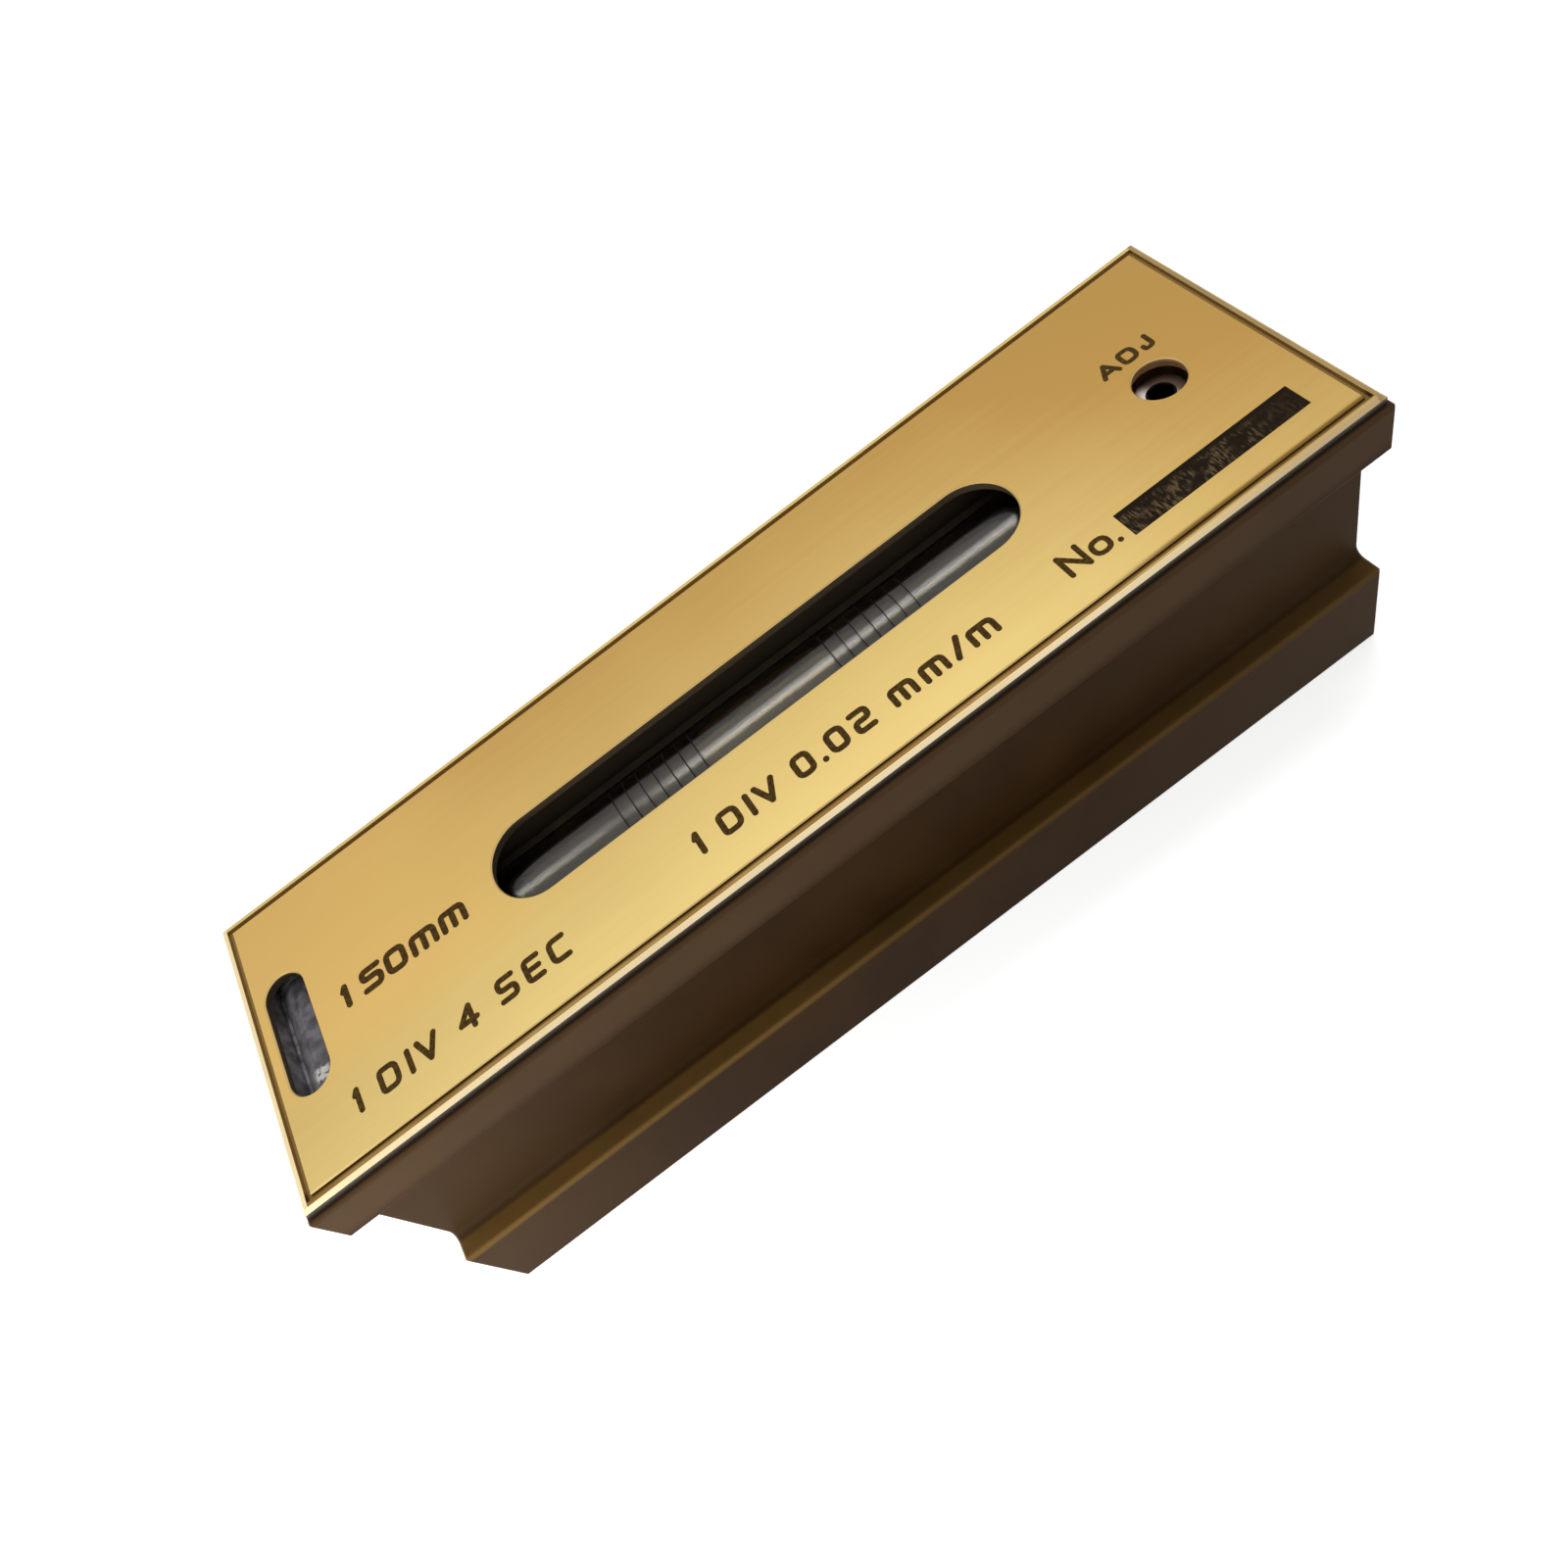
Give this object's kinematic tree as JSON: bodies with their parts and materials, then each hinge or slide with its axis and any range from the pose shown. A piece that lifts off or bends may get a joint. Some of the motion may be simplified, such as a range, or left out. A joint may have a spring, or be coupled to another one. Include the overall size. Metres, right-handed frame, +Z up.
{
  "type": "precision machinist level",
  "caption": "Bench level: a brown iron block with side grips and a V-grooved base, a gilt cover plate, a graduated main vial, a cross vial and an adjusting screw.",
  "frame": {"origin": "centre of the base, in the plane of its two ground faces", "axes": "+X along the block towards the adjusting screw, +Y across it to the back, +Z up"},
  "size_m": [0.15, 0.045, 0.045],
  "materials": {
    "brown_iron": "brown enamel, ground bare on the base",
    "gilt_cover": "satin gilt with a bright bevel",
    "gilt_plate": "satin gilt, fine brushed",
    "number_black": "matte black",
    "steel_screws": "bright steel",
    "black_brass": "chemically blackened",
    "setting_cement": "matte plaster",
    "vial_glass": "clear drawn glass",
    "vial_spirit": "clear spirit",
    "spring_steel": "oiled spring steel"
  },
  "bodies": {
    "block": {"body": "brown_iron", "top_cover": "gilt_cover", "name_plate": "gilt_plate", "number_field": "number_black", "cover_screws": "steel_screws", "pivot_block": "steel_screws", "pivot_block_screws": "steel_screws", "pivot_pin": "steel_screws", "adj_spring": "spring_steel", "cross_cradle": "black_brass", "cross_cradle_screws": "steel_screws", "cross_cement": "setting_cement", "cross_vial": "vial_glass", "cross_vial_discs": "vial_glass", "cross_spirit": "vial_spirit"},
    "carrier": {"carrier_tube": "black_brass", "pivot_end": "black_brass", "adjust_end": "black_brass", "end_pins": "steel_screws", "vial_cement": "setting_cement", "main_vial": "vial_glass", "main_vial_discs": "vial_glass", "main_spirit": "vial_spirit"},
    "washer": {"adj_washer": "steel_screws"},
    "screw": {"adj_screw": "steel_screws"}
  },
  "joints": [
    {"name": "washer_feed", "type": "slide", "parent": "block", "child": "washer", "axis": [0, 0, 1], "range_m": [-0.0005, 0.0005]},
    {"name": "adj_screw_turn", "type": "hinge", "parent": "washer", "child": "screw", "pos_m": [0.0609, 0, 0.0386], "axis": [0, 0, 1], "range_deg": [-360, 360]},
    {"name": "carrier_tilt", "type": "hinge", "parent": "block", "child": "carrier", "pos_m": [-0.053, 0, 0.0364], "axis": [0, 1, 0], "range_deg": [-0.2515, 0.2515], "stiffness_Nm_per_rad": 34.6, "springref_deg": -0.06, "deforming": ["adj_spring"]}
  ],
  "couplings": [
    {"joint": "washer_feed", "follows": "carrier_tilt", "m_per_rad": -0.1139},
    {"joint": "adj_screw_turn", "follows": "carrier_tilt", "ratio": -1431.3}
  ]
}
